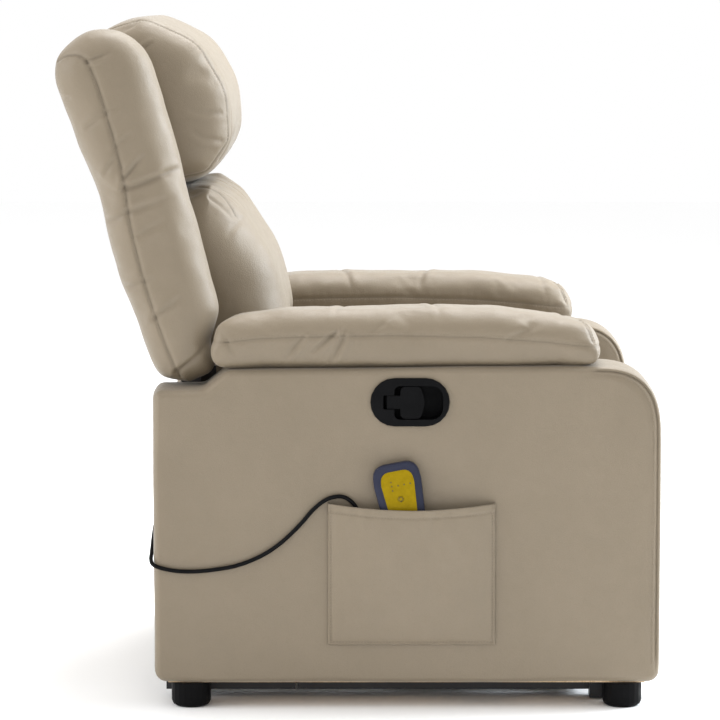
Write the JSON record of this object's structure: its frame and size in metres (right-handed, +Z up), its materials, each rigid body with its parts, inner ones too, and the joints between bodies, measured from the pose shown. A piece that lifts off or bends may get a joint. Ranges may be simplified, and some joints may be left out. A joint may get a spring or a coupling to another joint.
{
  "type": "massage recliner chair",
  "caption": "Padded massage recliner with winged backrest, boxed arms, fold-out footrest, side release lever and a corded remote in a side pocket.",
  "frame": {"origin": "under the middle of the chair's outline, on the floor", "axes": "+X to the sitter's feet, +Z up, -Y to the sitter's right hand"},
  "size_m": [0.8856, 0.7948, 1.0221],
  "materials": {
    "leather": "low-sheen cappuccino faux leather with a fine grain",
    "steel": "satin black powder coat",
    "zinc": "zinc plated",
    "plywood": "raw sanded birch ply",
    "black_plastic": "fine matte texture",
    "blue_plastic": "satin slate blue",
    "yellow_film": "printed overlay",
    "cable": "smooth black sheath"
  },
  "bodies": {
    "chair": {"foot_rear_right": "black_plastic", "foot_rear_left": "black_plastic", "foot_front_right": "black_plastic", "foot_front_left": "black_plastic", "base_frame_rear": "steel", "base_frame_front": "steel", "mechanism_plate_right": "steel", "mechanism_plate_left": "steel", "back_upright_right": "steel", "back_upright_left": "steel", "arm_cover_right": "leather", "arm_cover_left": "leather", "arm_frame_right": "plywood", "arm_frame_left": "plywood", "arm_pad_right": "leather", "arm_pad_left": "leather", "rear_panel": "leather", "seat_frame": "plywood", "seat_spring_deck": "zinc", "seat_cushion": "leather", "motor_housing_seat": "black_plastic", "control_box": "black_plastic", "power_inlet": "black_plastic", "release_bezel": "black_plastic", "release_cable": "cable", "remote_pocket": "leather", "remote_cord": "cable", "cord_gland": "black_plastic"},
    "backrest": {"back_frame": "plywood", "back_cover": "leather", "back_hinge_plate_right": "steel", "back_hinge_plate_left": "steel", "wing_right": "leather", "wing_left": "leather", "lumbar_cushion": "leather", "headrest_cushion": "leather", "motor_housing_lumbar_right": "black_plastic", "motor_housing_lumbar_left": "black_plastic"},
    "front_links": {"front_swing_link_right": "steel", "front_swing_link_left": "steel", "swing_cross_tube": "steel"},
    "rear_links": {"rear_swing_link_right": "steel", "rear_swing_link_left": "steel"},
    "couplers": {"coupler_link_right": "steel", "coupler_link_left": "steel"},
    "tie_rods": {"tie_rod_right": "steel", "tie_rod_left": "steel"},
    "footrest": {"footrest_board": "plywood", "footrest_pad": "leather", "footrest_bracket_right": "steel", "footrest_bracket_left": "steel"},
    "lever": {"release_lever": "black_plastic"},
    "remote": {"remote_case": "blue_plastic", "remote_keypad": "yellow_film"},
    "power_key": {"power_button": "black_plastic"},
    "mode_key": {"mode_button": "black_plastic"},
    "heat_key": {"heat_button": "black_plastic"},
    "seat_motor": {"motor_weight_seat": "zinc"},
    "lumbar_motor_right": {"motor_weight_lumbar_right": "zinc"},
    "lumbar_motor_left": {"motor_weight_lumbar_left": "zinc"}
  },
  "joints": [
    {"name": "footrest_raise", "type": "hinge", "parent": "chair", "child": "front_links", "pos_m": [0.19, 0.0124, 0.285], "axis": [0, -1, 0], "range_deg": [0, 100]},
    {"name": "rear_link_swing", "type": "hinge", "parent": "chair", "child": "rear_links", "pos_m": [0.25339, 0.0124, 0.32508], "axis": [0, -1, 0], "range_deg": [0, 100]},
    {"name": "coupler_level", "type": "hinge", "parent": "front_links", "child": "couplers", "pos_m": [0.14919, 0.0124, 0.05357], "axis": [0, -1, 0], "range_deg": [-100, 0]},
    {"name": "tie_rod_level", "type": "hinge", "parent": "rear_links", "child": "tie_rods", "pos_m": [0.22301, 0.0124, 0.15274], "axis": [0, -1, 0], "range_deg": [-100, 0]},
    {"name": "footrest_turn", "type": "hinge", "parent": "couplers", "child": "footrest", "pos_m": [0.32501, 0.0124, 0.16472], "axis": [0, -1, 0], "range_deg": [0, 100]},
    {"name": "backrest_recline", "type": "hinge", "parent": "chair", "child": "backrest", "pos_m": [-0.255, 0.0124, 0.53], "axis": [0, -1, 0], "range_deg": [0, 35]},
    {"name": "lever_pull", "type": "hinge", "parent": "chair", "child": "lever", "pos_m": [0.0405, -0.3666, 0.4555], "axis": [0, 0, -1], "range_deg": [0, 35], "stiffness_Nm_per_rad": 0.3, "springref_deg": -17.19},
    {"name": "remote_lift", "type": "slide", "parent": "chair", "child": "remote", "axis": [-0.1942, 0, 0.981], "range_m": [0, 0.045]},
    {"name": "power_press", "type": "slide", "parent": "remote", "child": "power_key", "axis": [0, 1, 0], "range_m": [0, 0.0008], "stiffness_N_per_m": 900, "springref_m": -0.0006},
    {"name": "mode_press", "type": "slide", "parent": "remote", "child": "mode_key", "axis": [0, 1, 0], "range_m": [0, 0.0008], "stiffness_N_per_m": 900, "springref_m": -0.0006},
    {"name": "heat_press", "type": "slide", "parent": "remote", "child": "heat_key", "axis": [0, 1, 0], "range_m": [0, 0.0008], "stiffness_N_per_m": 900, "springref_m": -0.0006},
    {"name": "seat_motor_spin", "type": "hinge", "parent": "chair", "child": "seat_motor", "pos_m": [0.08, 0.0124, 0.3968], "axis": [0, 0, 1], "continuous": true},
    {"name": "lumbar_motor_spin_right", "type": "hinge", "parent": "backrest", "child": "lumbar_motor_right", "pos_m": [-0.29905, -0.0876, 0.60506], "axis": [0.9511, 0, 0.309], "continuous": true},
    {"name": "lumbar_motor_spin_left", "type": "hinge", "parent": "backrest", "child": "lumbar_motor_left", "pos_m": [-0.29905, 0.1124, 0.60506], "axis": [0.9511, 0, 0.309], "continuous": true}
  ],
  "couplings": [
    {"joint": "rear_link_swing", "follows": "footrest_raise", "ratio": 1},
    {"joint": "coupler_level", "follows": "footrest_raise", "ratio": -1},
    {"joint": "tie_rod_level", "follows": "footrest_raise", "ratio": -1},
    {"joint": "footrest_turn", "follows": "footrest_raise", "ratio": 1}
  ]
}
